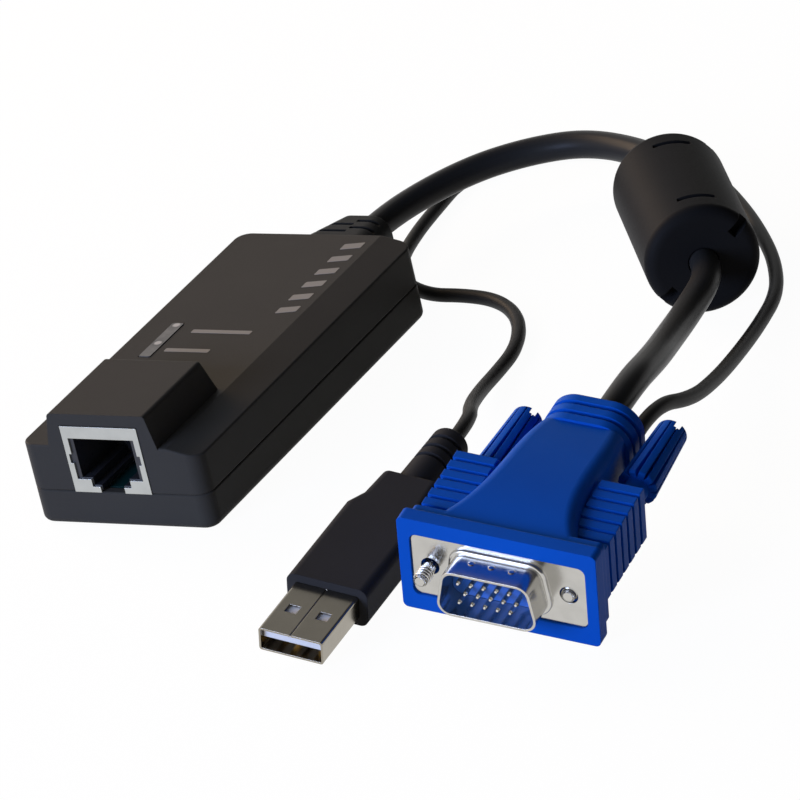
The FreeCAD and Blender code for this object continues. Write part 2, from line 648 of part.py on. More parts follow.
def make_ferrite():
    body = new_body("ferrite_case")
    bore = "cable_radius + ferrite_bore_gap"
    inner_end = "ferrite_length - ferrite_end"
    half = outline(new_sketch(body, "z", "0"), [
        (bore, "0"), ("ferrite_radius", "0"), ("ferrite_radius", "ferrite_length"), (bore, "ferrite_length"),
        (bore, inner_end), ("core_radius", inner_end), ("core_radius", "ferrite_end"), (bore, "ferrite_end")])
    revolve(body, half)
    outer = value("ferrite_radius")
    fillet(body, "ferrite_edge", lambda box: near(box.XMax, outer) and near(box.ZMax, outer))
    window = new_sketch(body, "z", "ferrite_radius")
    for along in ("window_cut_inset", "ferrite_length - window_cut_inset"):
        rectangle(window, "-window_cut_length / 2", "window_cut_length / 2", along + " - window_cut / 2",
                  along + " + window_cut / 2")
    slots = pocket(body, window, "window_cut_depth", -1)
    mirror(body, [slots], "XY_Plane")
    for along, way in (("0", 1), ("ferrite_length", -1)):
        end = new_sketch(body, "y", along)
        turn = Rotation(Vector(0, 0, 1), value("notch_turn"))
        end.AttachmentOffset = Placement(end.AttachmentOffset.Base, turn)
        for inner, outer in (("notch_inner", "ferrite_radius"), ("-ferrite_radius", "-notch_inner")):
            rectangle(end, inner, outer, "-notch_width / 2", "notch_width / 2")
        pocket(body, end, "notch_depth", way)
    core = cut("ferrite_core", bar("core_outside", "core_radius", "0", "0", "ferrite_end", inner_end),
               [bar("core_bore", "cable_radius + core_gap", "0", "0", "ferrite_end", inner_end)])
    for piece in (body, core):
        piece.Placement = laid("ferrite")
    return [body, core]


# Video plug

FLANGE_FRONT = "-plate_thick / 2 - flange_lip"
FLANGE_BACK = FLANGE_FRONT + " + flange_thick"
GRIP_FRONT = FLANGE_BACK + " + shoulder_thick"
GRIP_BACK = GRIP_FRONT + " + grip_length"


def centred(body, along, width, height, radius):
    return rounded(new_sketch(body, "y", along), "-(%s) / 2" % width, "(%s) / 2" % width,
                   "-(%s) / 2" % height, "(%s) / 2" % height, radius)


def grip_outline(body, sign, inner, inset):
    """A grip's section, its lower outer corner cut off."""
    outer = "(grip_width / 2 - %s)" % inset
    low, high = "(%s - grip_height / 2)" % inset, "(grip_height / 2 - %s)" % inset
    corners = [(inner, low), (outer + " - grip_under", low), (outer, low + " + grip_under"), (outer, high),
               (inner, high)]
    return outline(new_sketch(body, "y", GRIP_FRONT),
                   [("%s(%s)" % (sign, across), upward) for across, upward in corners])


def make_vga_hood():
    body = new_body("vga_hood")
    pad(body, centred(body, FLANGE_FRONT, "flange_width", "flange_height", "flange_round"), "flange_thick")
    back = value(FLANGE_BACK)
    fillet(body, "flange_round / 2", lambda box: near(box.YMin, back) and near(box.YMax, back))
    pad(body, centred(body, FLANGE_BACK, "shoulder_width", "shoulder_height", "flange_round"),
        "shoulder_thick")
    sections = [
        centred(body, GRIP_FRONT + " - shoulder_thick / 2", "neck_mouth_width", "shoulder_height",
                "body_round"),
        centred(body, GRIP_FRONT + " + body_flare", "body_front_width", "body_front_height", "body_round"),
        centred(body, GRIP_BACK, "body_mid_width", "body_mid_height", "body_round"),
        centred(body, "body_end", "body_rear_width", "body_rear_height", "body_round")]
    loft(body, sections)
    for sign in ("", "-"):
        pad(body, grip_outline(body, sign, "grip_inner - body_round", "rib_depth"), "grip_length")
        rib = pad(body, grip_outline(body, sign, "grip_inner", "0"), "rib_thick")
        row_of(body, rib, "Y", "grip_length - rib_thick", "rib_count")
    ring_core = centred(body, "body_end - rib_depth", "ring_core_width", "ring_core_height",
                        "ring_round - rib_depth")
    pad(body, ring_core, "collar_end - body_end + rib_depth")
    for i in range(int(value("ring_count"))):
        along = "body_end + %d * ring_pitch" % i
        pad(body, centred(body, along, "ring_width", "ring_height", "ring_round"), "ring_thick")
    recess = centred(body, FLANGE_FRONT, "plate_width + 2 * plate_gap", "plate_height + 2 * plate_gap",
                     "plate_round")
    pocket(body, recess, "flange_lip + plate_thick", 1)
    well = rectangle(new_sketch(body, "y", "plate_thick / 2"), "-shroud_wide / 2", "shroud_wide / 2",
                     "-shroud_height / 2", "shroud_height / 2")
    pocket(body, well, "pin_block_back", 1)
    for radius, depth in (("rod_radius + rod_gap", "thread_room"),
                          ("shank_radius + shank_gap", GRIP_BACK + " - (%s)" % FLANGE_FRONT)):
        bores = new_sketch(body, "y", FLANGE_FRONT)
        for side in ("", "-"):
            circle(bores, side + "screw_spacing / 2", "0", radius)
        pocket(body, bores, depth, 1)
    return body


def shroud_outline(sketch, grow):
    """The D of the shroud: wide side down, slanted ends, round corners."""
    wide, narrow = "shroud_wide / 2 + (%s)" % grow, "shroud_narrow / 2 + (%s)" % grow
    low, high = "-shroud_height / 2 - (%s)" % grow, "shroud_height / 2 + (%s)" % grow
    corners = [("-(%s)" % wide, low), (wide, low), (narrow, high), ("-(%s)" % narrow, high)]
    return rounded_outline(sketch, corners, "shroud_round + (%s)" % grow)


def make_vga_shell():
    body = new_body("vga_shell_plain")
    face = "-plate_thick / 2"
    pad(body, centred(body, face, "plate_width", "plate_height", "plate_round"), "plate_thick")
    pad(body, shroud_outline(new_sketch(body, "y", face), "bead_out"), "bead_thick", -1)
    front = value(face + " - bead_thick")
    fillet(body, "bead_out * 0.8", lambda box: near(box.YMin, front) and near(box.YMax, front))
    pad(body, shroud_outline(new_sketch(body, "y", face), "0"), "shroud_depth", -1)
    hollow = shroud_outline(new_sketch(body, "y", face + " - shroud_depth"), "-shroud_wall")
    pocket(body, hollow, "shroud_depth + plate_thick", 1)
    holes = new_sketch(body, "y", face)
    for side in ("", "-"):
        circle(holes, side + "screw_spacing / 2", "0", "rod_radius + plate_hole_gap")
    pocket(body, holes, "plate_thick", 1)
    dimples = []
    for side, places in (("", (-1, 0, 1)), ("-", (-0.5, 0.5))):
        for place in places:
            spot = Vector(place * value("dimple_pitch"), value(face + " - dimple_back"),
                          value(side + "shroud_height / 2"))
            way = Vector(0, 0, 1 if side == "" else -1)
            foot = spot - way * value("shroud_wall / 3")
            dimples.append(Part.makeCone(value("dimple_radius"), value("dimple_radius / 2"),
                                         value("dimple_out"), foot, way))
    bumps = solids("vga_dimples", dimples)
    shell = doc.addObject("Part::MultiFuse", "vga_shell")
    shell.Shapes = [body, bumps]
    return shell


def pin_spots():
    """Three rows of five, the outer rows half a pitch to one side of the middle one."""
    spots = []
    for row in (-1, 0, 1):
        for i in range(5):
            across = (i - 2 + (0.25 if row == 0 else -0.25)) * value("pin_pitch")
            spots.append((across, row * value("pin_row_pitch")))
    return spots


def make_vga_pins(label):
    back = value("plate_thick / 2 + pin_block_back")
    front = -value("plate_thick / 2 + pin_front")
    radius = value("pin_radius")
    pins = []
    for across, upward in pin_spots():
        root, shoulder = Vector(across, back, upward), Vector(across, front + radius, upward)
        shank = Part.makeCylinder(radius, back - front - radius, root, Vector(0, -1, 0))
        nose = Part.makeCone(radius, radius / 2, radius, shoulder, Vector(0, -1, 0))
        pins.append(shank.fuse(nose))
    return solids(label, pins)


def make_vga_insulator():
    body = new_body("pin_block")
    gap = "-shroud_wall - pin_block_gap"
    pad(body, shroud_outline(new_sketch(body, "y", "-plate_thick / 2 - pin_block_front"), gap),
        "pin_block_front + plate_thick + pin_block_back")
    holder = doc.addObject("Part::Cut", "vga_insulator")
    holder.Base = body
    holder.Tool = make_vga_pins("pin_holes")
    return holder


def make_thumb_screw(side):
    """A captive screw: a ribbed, slotted grip moulded on a steel rod."""
    sign = "-" if side == "left" else ""
    body = new_body(side + "_screw_grip")
    half = outline(new_sketch(body, "z", "0"), [
        ("shank_radius", "thumb_neck_start"), ("thumb_neck_radius", "thumb_neck_start"),
        ("thumb_neck_radius", "thumb_front"), ("thumb_front_radius", "thumb_front"),
        ("thumb_end_radius", "thumb_end"), ("0", "thumb_end"), ("0", "thumb_neck_start + rod_seat"),
        ("shank_radius", "thumb_neck_start + rod_seat")])
    revolve(body, half)
    front, end = value("thumb_front"), value("thumb_end")
    rim, tail = value("thumb_front_radius"), value("thumb_end_radius")
    fillet(body, "thumb_edge", lambda box: (near(box.YMax, front) and near(box.XMax, rim))
           or (near(box.YMin, end) and near(box.XMax, tail)))
    groove = outline(new_sketch(body, "y", "thumb_front"), [
        ("-thumb_groove / 2", "thumb_front_radius"), ("0", "thumb_end_radius - thumb_groove_depth"),
        ("thumb_groove / 2", "thumb_front_radius")])
    channel = pocket(body, groove, "thumb_end - thumb_front", 1)
    ring_of(body, channel, "Y", "thumb_rib_count")
    slot = rectangle(new_sketch(body, "y", "thumb_end"), "-thumb_front_radius", "thumb_front_radius",
                     "-thumb_slot / 2", "thumb_slot / 2")
    pocket(body, slot, "thumb_slot_depth", -1)

    rod = new_body(side + "_screw_rod")
    tip = "-plate_thick / 2 - rod_tip"
    shaft = outline(new_sketch(rod, "z", "0"), [
        ("0", tip), ("rod_radius - rod_chamfer", tip), ("rod_radius", tip + " + rod_chamfer"),
        ("rod_radius", tip + " + rod_chamfer + thread_length"),
        ("shank_radius", tip + " + rod_chamfer + thread_length"),
        ("shank_radius", "thumb_neck_start + rod_seat"), ("0", "thumb_neck_start + rod_seat")])
    revolve(rod, shaft)
    along = Vector(value(sign + "screw_spacing / 2"), value(side + "_shift"), 0)
    for piece, turn in ((body, value("thumb_turn")), (rod, 0.0)):
        piece.Placement = laid("vga").multiply(Placement(along, Rotation(Vector(0, 1, 0), turn)))
    return [body, rod]


def make_video_plug():
    pieces = [make_vga_hood(), make_vga_shell(), make_vga_insulator(), make_vga_pins("vga_pins")]
    doc.recompute()
    for piece in pieces:
        piece.Placement = laid("vga")
    return pieces + make_thumb_screw("left") + make_thumb_screw("right")


# USB plug

MOULD_BACK = "usb_bare + mould_length"
WAIST_FRONT = MOULD_BACK + " + step_length"
WAIST_BACK = WAIST_FRONT + " + waist_length"
RELIEF_BACK = WAIST_BACK + " + relief_length"


def make_usb_shell():
    body = new_body("usb_shell")
    pad(body, centred(body, "0", "usb_width", "usb_height", "usb_round"), "usb_bare + usb_hidden")
    inner = "usb_round - usb_sheet / 2"
    hollow = centred(body, "0", "usb_width - 2 * usb_sheet", "usb_height - 2 * usb_sheet", inner)
    pocket(body, hollow, "usb_bare + usb_hidden", 1)
    holes = new_sketch(body, "z", "usb_height / 2")
    for side in ("", "-"):
        rectangle(holes, side + "usb_hole_x - usb_hole_side / 2", side + "usb_hole_x + usb_hole_side / 2",
                  "usb_hole_y - usb_hole_side / 2", "usb_hole_y + usb_hole_side / 2")
    windows = pocket(body, holes, "usb_sheet", -1)
    mirror(body, [windows], "XY_Plane")
    seam = rectangle(new_sketch(body, "z", "usb_height / 2"), "-usb_seam / 2", "usb_seam / 2", "0",
                     "usb_bare")
    pocket(body, seam, "usb_seam_depth", -1)
    return body


TONGUE_HIGH = "usb_height / 2 - usb_sheet - tongue_gap"
TONGUE_LOW = TONGUE_HIGH + " - tongue_thick"


def make_usb_tongue():
    side = "usb_width / 2 - usb_sheet - tongue_gap"
    return block("usb_tongue", "-(%s)" % side, side, "tongue_recess", "usb_bare + usb_hidden", TONGUE_LOW,
                 TONGUE_HIGH)


def make_usb_contacts():
    low = value(TONGUE_LOW + " - usb_contact_thick")
    width, thick, length = [value("usb_contact_" + word) for word in ("width", "thick", "length")]
    strips = []
    for across in ("-usb_contact_outer", "-usb_contact_inner", "usb_contact_inner", "usb_contact_outer"):
        corner = Vector(value(across) - width / 2, value("contact_recess"), low)
        strips.append(Part.makeBox(width, length, thick, corner))
    return solids("usb_contacts", strips)


def make_usb_overmould():
    body = new_body("usb_overmould")
    pad(body, centred(body, "usb_bare", "mould_width", "mould_height", "mould_round"), "mould_length")
    loft(body, [centred(body, MOULD_BACK, "mould_width", "mould_height", "mould_round"),
                centred(body, WAIST_FRONT, "step_width", "mould_height", "mould_round")])
    loft(body, [centred(body, WAIST_FRONT, "step_width", "mould_height", "mould_round"),
                centred(body, WAIST_BACK, "waist_width", "mould_height", "mould_round")])
    back = value(WAIST_BACK)
    fillet(body, "mould_round / 2", lambda box: near(box.YMin, back) and near(box.YMax, back))
    relief = outline(new_sketch(body, "z", "0"), [
        ("0", WAIST_BACK + " - step_length"), ("relief_radius", WAIST_BACK + " - step_length"),
        ("relief_radius", WAIST_BACK), ("relief_end_radius", RELIEF_BACK), ("0", RELIEF_BACK)])
    revolve(body, relief)
    end = value(RELIEF_BACK)
    fillet(body, "relief_edge", lambda box: near(box.YMin, end) and near(box.YMax, end))
    ring = new_sketch(body, "y", RELIEF_BACK + " - relief_groove_pitch * (relief_groove_count + 0.3)")
    circle(ring, "0", "0", "relief_radius + relief_groove_depth")
    circle(ring, "0", "0", "relief_end_radius - relief_groove_depth")
    groove = pocket(body, ring, "relief_groove", 1)
    row_of(body, groove, "Y", "relief_groove_pitch * (relief_groove_count - 1)", "relief_groove_count")
    seat = centred(body, "usb_bare", "usb_width", "usb_height", "usb_round")
    pocket(body, seat, "usb_hidden", 1)
    return body


def make_usb_plug():
    pieces = [make_usb_overmould(), make_usb_shell(), make_usb_tongue(), make_usb_contacts()]
    doc.recompute()
    for piece in pieces:
        place_in_plug(piece, "usb")
    return pieces


def place_in_plug(piece, plug):
    """A primitive keeps its own place inside the plug's frame; everything else is drawn in that frame."""
    own = piece.Placement if piece.TypeId == "Part::Box" else Placement()
    piece.setExpression("Placement.Base.x", None)
    piece.setExpression("Placement.Base.y", None)
    piece.setExpression("Placement.Base.z", None)
    piece.Placement = laid(plug).multiply(own)


# Cords

def route_wire(points):
    """Straight runs joined by tangent arcs, each as large as its two runs allow."""
    edges = []
    radii = []
    start = points[0]
    for i in range(1, len(points) - 1):
        corner = points[i]
        back, ahead = points[i - 1] - corner, points[i + 1] - corner
        trim = 0.45 * min(back.Length, ahead.Length)
        back.normalize()
        ahead.normalize()
        turn = math.pi - back.getAngle(ahead)
        radii.append(trim / math.tan(turn / 2))
        enter, leave = corner + back * trim, corner + ahead * trim
        bisector = (back + ahead).normalize()
        centre = corner + bisector * (radii[-1] / math.cos(turn / 2))
        middle = centre - bisector * radii[-1]
        edges.append(Part.LineSegment(start, enter).toShape())
        edges.append(Part.Arc(enter, middle, leave).toShape())
        start = leave
    edges.append(Part.LineSegment(start, points[-1]).toShape())
    return Part.Wire(edges), radii


def make_cord(label, points, radius):
    wire, radii = route_wire(points)
    start = points[1] - points[0]
    ring = Part.Wire([Part.Circle(points[0], start, radius).toShape()])
    tube = doc.addObject("Part::Feature", label)
    tube.Shape = wire.makePipeShell([ring], True, False)
    plain = math.pi * radius ** 2 * wire.Length
    print(label, "length", round(wire.Length, 1), "volume", round(tube.Shape.Volume / plain, 4),
          "radii", [round(number, 1) for number in radii])
    return tube


def on_plug(plug, across, along):
    return laid(plug).multVec(Vector(value(across), value(along), 0))


def make_video_cable():
    """From the boot's end in a wide arch to the ferrite, straight through it and on to the video plug."""
    ferrite = laid("ferrite")
    behind = ferrite.multVec(Vector(0, value("ferrite_length") + 13, 0))
    ahead = ferrite.multVec(Vector(0, -6, 0))
    start = Vector(value("boot_x"), value(REAR + " + boot_length"), value("boot_z"))
    points = [start, start + Vector(0, 9.0, 0), Vector(8.9, 80.6, 10.4), Vector(18.6, 90.2, 10.4),
              Vector(31.2, 92.6, 11.2), behind, ahead, Vector(81.6, 27.0, 9.4), Vector(85.0, 12.5, 11.6),
              Vector(90.0, -2.0, 15.6), on_plug("vga", "cable_side", "collar_end + 12"),
              on_plug("vga", "cable_side", "collar_end")]
    return make_cord("video_cable", points, value("cable_radius"))


def make_usb_cord():
    """From the video plug's collar down to the table, round behind the ferrite and the cable, past the
    housing's rear corner and on to the USB plug."""
    lying = value("cord_radius") + 0.05
    floor = [(87.4, 50.4), (81.7, 62.2), (74.8, 72.4), (66.0, 83.6), (55.0, 95.6), (42.6, 104.4),
             (29.6, 108.2), (16.2, 108.6), (5.0, 104.4), (-1.2, 95.0), (-0.4, 83.4), (0.6, 72.4),
             (3.0, 60.8), (8.6, 51.4), (16.4, 46.8), (24.0, 47.0), (31.0, 45.6), (37.2, 41.2),
             (42.0, 34.4), (45.2, 25.6)]
    points = [on_plug("vga", "cord_side", "collar_end"), on_plug("vga", "cord_side", "collar_end + 8"),
              Vector(101.0, -11.0, 12.6), Vector(97.8, 4.5, 8.4), Vector(93.8, 21.0, 4.8),
              Vector(90.2, 36.6, 2.2)]
    points += [Vector(across, along, lying) for across, along in floor]
    points += [Vector(46.0, 17.0, 1.6), Vector(47.6, 7.6, 2.9), Vector(51.8, -4.0, 5.8),
               on_plug("usb", "0", RELIEF_BACK + " + 8"), on_plug("usb", "0", RELIEF_BACK)]
    return make_cord("usb_cord", points, value("cord_radius"))


def main():
    fill_sheet()
    pieces = [make_bottom_shell(), make_top_cover(), make_light_pipe(), make_status_leds()]
    pieces += [make_circuit_board()] + make_chips() + make_jack() + [make_cable_boot(), make_case_screws()]
    pieces += make_ferrite() + make_video_plug() + make_usb_plug() + [make_video_cable(), make_usb_cord()]
    doc.recompute()
    for item in doc.Objects:
        if "Invalid" in item.State or "Error" in item.State:
            raise ValueError("%s failed to build: %s" % (item.Label, item.State))
    for piece in pieces:
        if piece.Shape.isNull() or not piece.Shape.isValid():
            raise ValueError("%s has no valid shape" % piece.Label)
    os.makedirs("parts", exist_ok=True)
    for piece in pieces:
        piece.Shape.exportStep("parts/%s.step" % piece.Label)
    print(len(pieces), "pieces written")


main()
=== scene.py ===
# %% [markdown]
# A network dongle on a white table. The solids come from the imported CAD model. This lesson gives them a
# camera, light and finishes, and adds what solids show badly: the soft line of the two cords, the threads
# of the thumb screws and the printed marks. All sizes are in metres, in the CAD model's own frame.

# %% Load the model
import json
import math

import bpy
from mathutils import Matrix, Vector


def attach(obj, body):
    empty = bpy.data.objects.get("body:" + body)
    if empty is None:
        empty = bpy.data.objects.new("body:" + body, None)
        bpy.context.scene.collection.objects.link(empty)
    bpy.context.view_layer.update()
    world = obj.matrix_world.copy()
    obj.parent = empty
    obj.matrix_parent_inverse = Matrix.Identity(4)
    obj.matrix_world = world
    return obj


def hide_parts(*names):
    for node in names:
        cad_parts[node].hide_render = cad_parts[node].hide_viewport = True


MM = 0.001
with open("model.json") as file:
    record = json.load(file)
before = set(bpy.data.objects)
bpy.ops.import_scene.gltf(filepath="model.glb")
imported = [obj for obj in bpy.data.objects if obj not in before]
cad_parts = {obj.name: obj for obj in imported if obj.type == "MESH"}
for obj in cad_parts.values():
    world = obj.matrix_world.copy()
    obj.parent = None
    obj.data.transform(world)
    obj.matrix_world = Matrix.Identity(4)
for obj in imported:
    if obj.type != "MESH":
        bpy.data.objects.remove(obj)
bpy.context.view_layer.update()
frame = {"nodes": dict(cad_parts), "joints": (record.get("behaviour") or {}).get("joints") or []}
nodes = frame["nodes"]
bpy.ops.object.select_all(action="DESELECT")

# %% [markdown]
# The camera. The picture was taken with a long lens from well above the table and a little to the right of
# the housing's front, and the camera was rolled. The distance and the angles were fitted to the housing's
# edges, and the lens to its length in the picture. Shifting the lens could frame the object too, but the
# shift would stay in every other view, so the camera looks at the point in the middle of the picture.

# %% Camera
IMAGE_SIDE = 800
CAMERA_DISTANCE = 1.2
ELEVATION = math.radians(24.5)
AZIMUTH = math.radians(34.59)
ROLL = math.radians(14.0)
PIXELS_PER_METRE = 5462.0
ORIGIN_PIXEL = (238.6, 416.3)
SENSOR_WIDTH = 36.0
FAR_CLIP = 20.0

toward = Vector((math.sin(AZIMUTH) * math.cos(ELEVATION), -math.cos(AZIMUTH) * math.cos(ELEVATION),
                 math.sin(ELEVATION)))
level_right = Vector((math.cos(AZIMUTH), math.sin(AZIMUTH), 0.0))
level_up = toward.cross(level_right)
right = math.cos(ROLL) * level_right - math.sin(ROLL) * level_up
up = math.sin(ROLL) * level_right + math.cos(ROLL) * level_up
eye = CAMERA_DISTANCE * toward
pixels_right = IMAGE_SIDE / 2 - ORIGIN_PIXEL[0]
pixels_up = ORIGIN_PIXEL[1] - IMAGE_SIDE / 2
middle = (right * pixels_right + up * pixels_up) / PIXELS_PER_METRE
backward = (eye - middle).normalized()
sideways = up.cross(backward).normalized()
upward = backward.cross(sideways)
turn = Matrix((sideways, upward, backward)).transposed()

bpy.ops.object.camera_add(location=eye, rotation=turn.to_euler())
camera = bpy.context.object
camera.name = "studio_camera"
camera.data.sensor_width = SENSOR_WIDTH
camera.data.lens = SENSOR_WIDTH * PIXELS_PER_METRE * CAMERA_DISTANCE / IMAGE_SIDE
camera.data.clip_end = FAR_CLIP
bpy.context.scene.camera = camera
bpy.context.scene.view_settings.view_transform = "Standard"
print("lens", round(camera.data.lens, 1), "mm")

# %% [markdown]
# Helpers for every material. Colours are written as they look on a screen and turned to linear light. One
# function adds a shader node with its settings and its links, so that a material reads as a list of what
# feeds what.

# %% Material helpers
MID_GREY = "808080"


def linear(hex_colour):
    """A screen colour such as 2b2a29 as linear red, green, blue and alpha."""
    screen = [int(hex_colour[i:i + 2], 16) / 255 for i in (0, 2, 4)]
    light = [c / 12.92 if c <= 0.04045 else ((c + 0.055) / 1.055) ** 2.4 for c in screen]
    return (*light, 1.0)


def add(tree, kind, inputs=None, **settings):
    """A shader node with its settings; an input is a value or the socket that feeds it."""
    node = tree.nodes.new(kind)
    for name, setting in settings.items():
        setattr(node, name, setting)
    for name, given in (inputs or {}).items():
        if isinstance(given, bpy.types.NodeSocket):
            tree.links.new(given, node.inputs[name])
        else:
            node.inputs[name].default_value = given
    return node


def new_finish(name):
    """An empty material and its node tree."""
    finish = bpy.data.materials.new(name)
    finish.use_nodes = True
    finish.node_tree.nodes.clear()
    return finish, finish.node_tree


def wear(finish, *names):
    """Puts a finish on CAD nodes."""
    for name in names:
        nodes[name].data.materials.clear()
        nodes[name].data.materials.append(finish)
    print(finish.name, "on", *names)


print("screen grey", MID_GREY, "is", round(linear(MID_GREY)[0], 3), "in linear light")

# %% [markdown]
# The room. A pack shot is taken in a white room. The wall is white to the eye, in mirrors and through
# glass, and lights the object at a plain level. More lamps could do that, but would throw more shadows. The
# ceiling is darker, so faces that lean a little mirror less white than level ones. On the right the room is
# dark too, like a studio with a black flag, which leaves the long right sides nearly black.

# %% Room
ROOM_LEVEL = 0.4
DARK_SIDE_LEVEL = 0.1
DARK_WAY = (0.93, 0.26, 0.26)
DARK_FROM, DARK_TO = -0.05, 0.45
CEILING_LEVEL = 0.45
WALL_TOP, CEILING_START = 0.45, 0.75
WHITE = (1, 1, 1, 1)


def seen_directly(tree):
    """Two values: 1 for rays of the eye, of mirrors and of glass; and 1 for rays of the eye alone."""
    ray = add(tree, "ShaderNodeLightPath")
    total = ray.outputs["Is Camera Ray"]
    for kind in ("Is Glossy Ray", "Is Transmission Ray"):
        either = add(tree, "ShaderNodeMath", {0: total, 1: ray.outputs[kind]}, operation="MAXIMUM")
        total = either.outputs[0]
    return total, ray.outputs["Is Camera Ray"]


world = bpy.data.worlds.new("white_room")
bpy.context.scene.world = world
world.use_nodes = True
room = world.node_tree
room.nodes.clear()
seen, by_eye = seen_directly(room)
level = add(room, "ShaderNodeMapRange", {"Value": seen, "To Min": ROOM_LEVEL, "To Max": 1.0})
way = add(room, "ShaderNodeTexCoord")
lean = add(room, "ShaderNodeVectorMath", {0: way.outputs["Generated"], 1: DARK_WAY},
           operation="DOT_PRODUCT")
side = add(room, "ShaderNodeMapRange", {
    "Value": lean.outputs["Value"], "From Min": DARK_FROM, "From Max": DARK_TO,
    "To Min": 1.0, "To Max": DARK_SIDE_LEVEL}, interpolation_type="SMOOTHSTEP")
side = add(room, "ShaderNodeMath", {0: side.outputs[0], 1: by_eye}, operation="MAXIMUM")
height = add(room, "ShaderNodeSeparateXYZ", {0: way.outputs["Generated"]})
ceiling = add(room, "ShaderNodeMapRange", {
    "Value": height.outputs["Z"], "From Min": WALL_TOP, "From Max": CEILING_START,
    "To Min": 1.0, "To Max": CEILING_LEVEL}, interpolation_type="SMOOTHSTEP")
shade = add(room, "ShaderNodeMath", {0: side.outputs[0], 1: ceiling.outputs[0]}, operation="MULTIPLY")
strength = add(room, "ShaderNodeMath", {0: level.outputs[0], 1: shade.outputs[0]}, operation="MULTIPLY")
glow = add(room, "ShaderNodeBackground", {"Color": WHITE, "Strength": strength.outputs[0]})
add(room, "ShaderNodeOutputWorld", {"Surface": glow.outputs[0]})
print("room level", ROOM_LEVEL)

# %% [markdown]
# The sweep is the white paper under the object. Bright lamps could burn it out to white, but they would
# burn out the object's pale faces too. So most of it shines white to the eye and in mirrors, and the rest
# is grey paper, which keeps a faint shadow under the object.

# %% Sweep
SWEEP_SIDE = 12.0
SWEEP_DROP = 0.05 * MM
SWEEP_WHITE_SHARE = 0.9
SWEEP_WHITE = 1.075
SWEEP_GREY = "bbbbbb"

bpy.ops.mesh.primitive_plane_add(size=SWEEP_SIDE, location=(0, 0, -SWEEP_DROP))
floor = bpy.context.object
floor.name = "floor"
sweep, tree = new_finish("white_sweep")
seen = seen_directly(tree)[0]
share = add(tree, "ShaderNodeMath", {0: seen, 1: SWEEP_WHITE_SHARE}, operation="MULTIPLY")
paper = add(tree, "ShaderNodeBsdfDiffuse", {"Color": linear(SWEEP_GREY)})
white = add(tree, "ShaderNodeEmission", {"Color": WHITE, "Strength": SWEEP_WHITE})
mix = add(tree, "ShaderNodeMixShader", {0: share.outputs[0], 1: paper.outputs[0], 2: white.outputs[0]})
add(tree, "ShaderNodeOutputMaterial", {"Surface": mix.outputs[0]})
floor.data.materials.append(sweep)
print("sweep", SWEEP_SIDE, "m")

# %% [markdown]
# Two soft lamps, as large as the boxes of a small studio. The warm one stands far to the left and lights
# the tops. The cool one stands in front and lights the faces that look at the camera. Point lamps would
# draw hard shadows and small hard spots on the metal.

# %% Lamps
LAMPS = {
    "warm_left": dict(place=(-1.1, 0.3, 0.65), size=0.8, power=13.0, tint="ffdab0"),
    "cool_front": dict(place=(-0.45, -1.25, 0.5), size=0.7, power=17.0, tint="b6cbff"),
}
AIM = Vector((0.03, 0.0, 0.0))
for name, lamp in LAMPS.items():
    place = Vector(lamp["place"])
    facing = (AIM - place).to_track_quat("-Z", "Y").to_euler()
    bpy.ops.object.light_add(type="AREA", location=place, rotation=facing)
    light = bpy.context.object
    light.name = name
    light.data.size = lamp["size"]
    light.data.energy = lamp["power"]
    light.data.color = linear(lamp["tint"])[:3]
print("lamps", *LAMPS)

# %% [markdown]
# The two cords. Each is a soft PVC sleeve pulled round its wires, and it lies in one smooth line. A mesh
# tube would need many rings to bend as smoothly, so each is a spline with a round bevel over the points of
# its route in the CAD model. The thick cable runs straight through the ferrite, so it has one more point
# just behind it and one just inside its front. The thin cord lies on the table most of the way round and
# rises only to its two plugs.

# %% Cords
CABLE_RADIUS = 2.7 * MM
CORD_RADIUS = 1.35 * MM
LYING = 1.4
UNIT_BEVEL = 1.0
BEVEL_STEPS = 6
SPAN_STEPS = 12
SPLINE_ORDER = 3

CABLE_ROUTE = [
    (2.2, 53.0, 10.6), (2.2, 62.0, 10.6), (8.9, 80.6, 10.4), (18.6, 90.2, 10.4), (31.2, 92.6, 11.2),
    (48.086, 85.525, 11.799), (53.054, 78.507, 11.607), (74.889, 47.664, 10.76), (80.666, 39.504, 10.536),
    (81.6, 27.0, 9.4), (85.0, 12.5, 11.6), (90.0, -2.0, 15.6), (94.236, -19.332, 19.68),
    (94.585, -31.238, 18.219)]
CORD_FLOOR = [
    (87.4, 50.4), (81.7, 62.2), (74.8, 72.4), (66.0, 83.6), (55.0, 95.6), (42.6, 104.4), (29.6, 108.2),
    (16.2, 108.6), (5.0, 104.4), (-1.2, 95.0), (-0.4, 83.4), (0.6, 72.4), (3.0, 60.8), (8.6, 51.4),
    (16.4, 46.8), (24.0, 47.0), (31.0, 45.6), (37.2, 41.2), (42.0, 34.4), (45.2, 25.6)]
CORD_ROUTE = [
    (100.936, -30.887, 16.878), (100.703, -22.95, 17.853), (101.0, -11.0, 12.6), (97.8, 4.5, 8.4),
    (93.8, 21.0, 4.8), (90.2, 36.6, 2.2),
    *[(across, along, LYING) for across, along in CORD_FLOOR],
    (46.0, 17.0, 1.6), (47.6, 7.6, 2.9), (51.8, -4.0, 5.8), (57.945, -14.371, 9.011),
    (58.029, -22.352, 8.467)]


